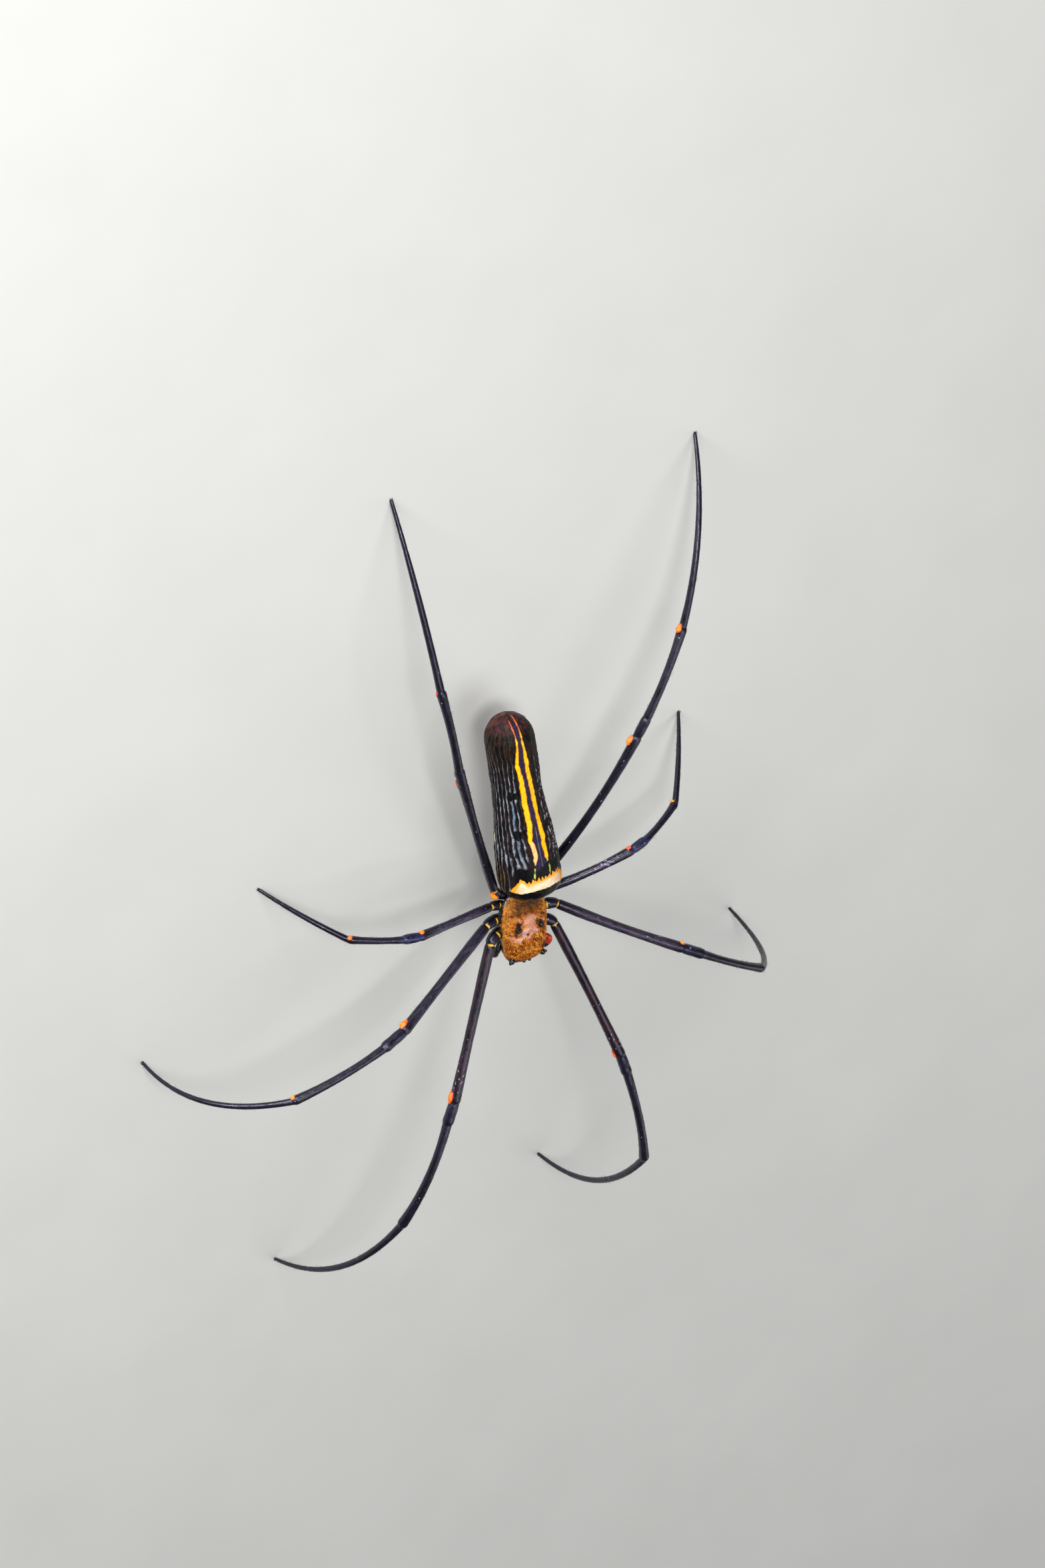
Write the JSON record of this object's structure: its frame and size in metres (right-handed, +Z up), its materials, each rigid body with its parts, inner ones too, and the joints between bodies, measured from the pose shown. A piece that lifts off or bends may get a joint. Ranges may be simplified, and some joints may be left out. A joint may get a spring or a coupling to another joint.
{
  "type": "golden silk orb weaver spider model",
  "caption": "Life-size still model of a female golden silk orb weaver, standing on level ground with long spread legs and a club-shaped abdomen.",
  "frame": {"origin": "on the ground at the middle of the model's outline", "axes": "+Z up from the ground, head towards -Y, the animal's left side towards +X"},
  "size_m": [0.1166, 0.1522, 0.0291],
  "materials": {
    "carapace": "short golden hair",
    "underside": "dull dark skin",
    "abdomen": "satin skin with pale lines and two yellow stripes",
    "leg": "satin black shell",
    "palp": "satin dark red skin",
    "jaw": "gloss black shell",
    "fang": "polished dark horn",
    "eye": "polished black",
    "spinneret": "dull dark skin"
  },
  "bodies": {
    "root": {"abdomen": "abdomen", "carapace": "carapace", "chelicera_L": "jaw", "chelicera_R": "jaw", "eye_front_middle_L": "eye", "eye_front_middle_R": "eye", "eye_front_side_L": "eye", "eye_front_side_R": "eye", "eye_rear_middle_L": "eye", "eye_rear_middle_R": "eye", "eye_rear_side_L": "eye", "eye_rear_side_R": "eye", "fang_L": "fang", "fang_R": "fang", "leg_L1_femur": "leg", "leg_L1_foot": "leg", "leg_L1_hip": "leg", "leg_L1_patella": "leg", "leg_L1_tibia": "leg", "leg_L2_femur": "leg", "leg_L2_foot": "leg", "leg_L2_hip": "leg", "leg_L2_patella": "leg", "leg_L2_tibia": "leg", "leg_L3_femur": "leg", "leg_L3_foot": "leg", "leg_L3_hip": "leg", "leg_L3_patella": "leg", "leg_L3_tibia": "leg", "leg_L4_femur": "leg", "leg_L4_foot": "leg", "leg_L4_hip": "leg", "leg_L4_patella": "leg", "leg_L4_tibia": "leg", "leg_R1_femur": "leg", "leg_R1_foot": "leg", "leg_R1_hip": "leg", "leg_R1_patella": "leg", "leg_R1_tibia": "leg", "leg_R2_femur": "leg", "leg_R2_foot": "leg", "leg_R2_hip": "leg", "leg_R2_patella": "leg", "leg_R2_tibia": "leg", "leg_R3_femur": "leg", "leg_R3_foot": "leg", "leg_R3_hip": "leg", "leg_R3_patella": "leg", "leg_R3_tibia": "leg", "leg_R4_femur": "leg", "leg_R4_foot": "leg", "leg_R4_hip": "leg", "leg_R4_patella": "leg", "leg_R4_tibia": "leg", "mouthparts": "underside", "palp_L": "palp", "palp_R": "palp", "pedicel": "underside", "spinnerets": "spinneret", "sternum": "underside"}
  },
  "joints": []
}
